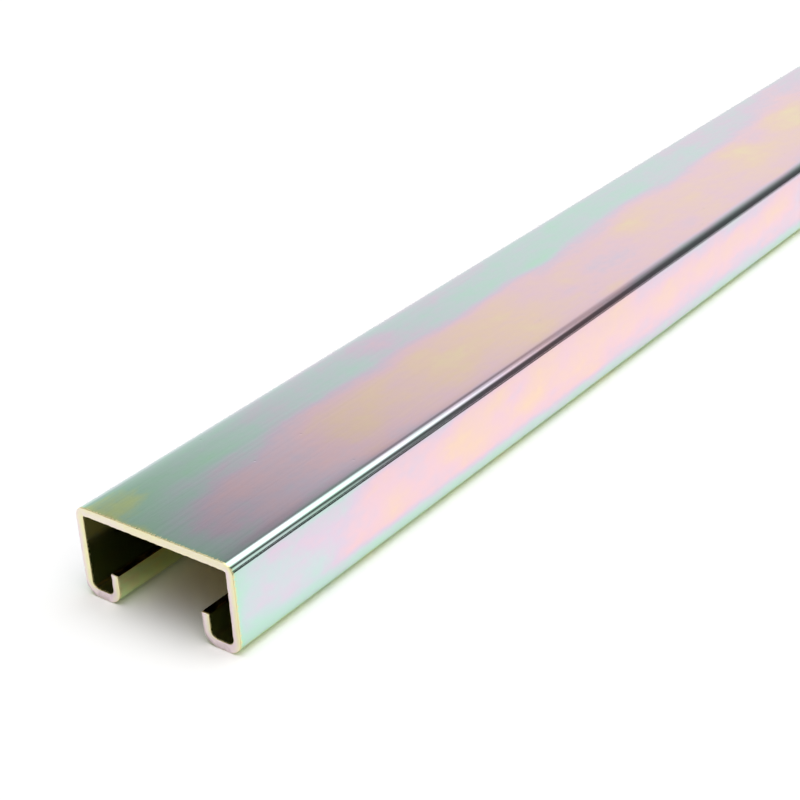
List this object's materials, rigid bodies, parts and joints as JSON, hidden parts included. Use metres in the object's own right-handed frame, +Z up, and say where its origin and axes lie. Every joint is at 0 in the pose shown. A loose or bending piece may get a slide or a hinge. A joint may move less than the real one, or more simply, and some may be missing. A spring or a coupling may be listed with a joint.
{
  "type": "strut channel",
  "caption": "Shallow rolled steel strut channel lying slot down: flat back, side walls and turned-in lips that hold channel nuts, with an iridescent passivated zinc finish.",
  "frame": {"origin": "on the floor plane, under the middle of the cut length and of the slot between the lips", "axes": "+Y along the channel's length, +Z up out of the flat back, +X across the section to one side wall; the slot between the lips faces -Z"},
  "size_m": [0.0412, 0.6096, 0.0206],
  "materials": {
    "passivated_zinc": "yellow-passivated zinc plate on rolled steel, semi-gloss, with iridescent teal, pink and yellow patches"
  },
  "bodies": {
    "root": {"channel": "passivated_zinc"}
  },
  "joints": []
}
